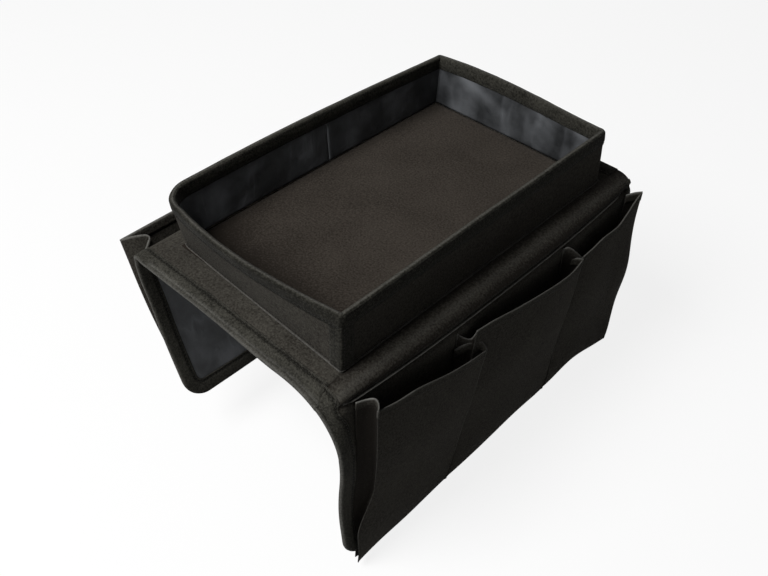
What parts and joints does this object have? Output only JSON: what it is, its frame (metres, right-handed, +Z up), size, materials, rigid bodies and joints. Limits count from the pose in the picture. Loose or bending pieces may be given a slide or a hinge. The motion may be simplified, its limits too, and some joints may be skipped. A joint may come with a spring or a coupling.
{
  "type": "sofa arm tray",
  "caption": "Cloth sofa arm tray: a walled tray on a stiff deck that lies over a sofa's arm, with open pockets on its hanging flaps.",
  "frame": {"origin": "centre of the deck's underside, where it meets the sofa arm", "axes": "+X across the arm towards the three pockets, +Y along the arm to the far end, +Z up"},
  "size_m": [0.2903, 0.369, 0.2499],
  "materials": {
    "oxford_cloth": "matte plain-woven oxford cloth",
    "floor_cloth": "matte brushed cloth",
    "coated_lining": "satin, coated on the face",
    "edge_tape": "matte folded binding tape with a stitched edge",
    "stiff_board": "plain greyboard, hidden inside",
    "sewing_thread": "matte thread"
  },
  "bodies": {
    "base": {"deck_cover": "oxford_cloth", "deck_board": "stiff_board", "deck_lining": "coated_lining", "deck_near_binding": "edge_tape", "deck_far_binding": "edge_tape", "tray_floor_board": "stiff_board", "tray_floor_cover": "floor_cloth", "tray_right_board": "stiff_board", "tray_left_board": "stiff_board", "tray_near_board": "stiff_board", "tray_far_board": "stiff_board", "tray_outer_cover": "oxford_cloth", "tray_near_lining": "coated_lining", "tray_far_lining": "coated_lining", "tray_right_lining": "coated_lining", "tray_left_near_lining": "coated_lining", "tray_left_far_lining": "coated_lining", "tray_rim_binding": "edge_tape", "tray_corner_binding": "edge_tape", "tray_base_seam": "sewing_thread"},
    "right_flap": {"right_fold_seam": "sewing_thread", "right_flap_lining": "coated_lining", "right_flap_board": "stiff_board", "right_flap_cover": "oxford_cloth", "right_flap_binding": "edge_tape", "right_pocket_1_near_pleat": "oxford_cloth", "right_pocket_1_far_pleat": "oxford_cloth", "right_pocket_2_near_pleat": "oxford_cloth", "right_pocket_2_far_pleat": "oxford_cloth", "right_pocket_3_near_pleat": "oxford_cloth", "right_pocket_3_far_pleat": "oxford_cloth"},
    "left_flap": {"left_fold_seam": "sewing_thread", "left_flap_lining": "coated_lining", "left_flap_board": "stiff_board", "left_flap_cover": "oxford_cloth", "left_flap_binding": "edge_tape", "left_pocket_near_pleat": "oxford_cloth", "left_pocket_far_pleat": "oxford_cloth"},
    "right_pocket_1": {"right_pocket_1_front": "oxford_cloth"},
    "right_pocket_2": {"right_pocket_2_front": "oxford_cloth"},
    "right_pocket_3": {"right_pocket_3_front": "oxford_cloth"},
    "left_pocket": {"left_pocket_front": "oxford_cloth"}
  },
  "joints": [
    {"name": "right_flap_fold", "type": "hinge", "parent": "base", "child": "right_flap", "pos_m": [0.118, 0, -0.005], "axis": [0, -1, 0], "range_deg": [-84, 90], "deforming": ["right_fold_seam"]},
    {"name": "left_flap_fold", "type": "hinge", "parent": "base", "child": "left_flap", "pos_m": [-0.118, 0, -0.005], "axis": [0, 1, 0], "range_deg": [-38, 106], "deforming": ["left_fold_seam"]},
    {"name": "right_pocket_1_opening", "type": "hinge", "parent": "right_flap", "child": "right_pocket_1", "pos_m": [0.1211, 0, -0.19], "axis": [0, 1, 0], "range_deg": [-4.5, 0], "deforming": ["right_pocket_1_near_pleat", "right_pocket_1_far_pleat"]},
    {"name": "right_pocket_2_opening", "type": "hinge", "parent": "right_flap", "child": "right_pocket_2", "pos_m": [0.1211, 0, -0.19], "axis": [0, 1, 0], "range_deg": [-4.5, 0], "deforming": ["right_pocket_2_near_pleat", "right_pocket_2_far_pleat"]},
    {"name": "right_pocket_3_opening", "type": "hinge", "parent": "right_flap", "child": "right_pocket_3", "pos_m": [0.1211, 0, -0.19], "axis": [0, 1, 0], "range_deg": [-4.5, 0], "deforming": ["right_pocket_3_near_pleat", "right_pocket_3_far_pleat"]},
    {"name": "left_pocket_opening", "type": "hinge", "parent": "left_flap", "child": "left_pocket", "pos_m": [-0.08101, 0, -0.14524], "axis": [0, -1, 0], "range_deg": [-4, 0], "deforming": ["left_pocket_near_pleat", "left_pocket_far_pleat"]}
  ]
}
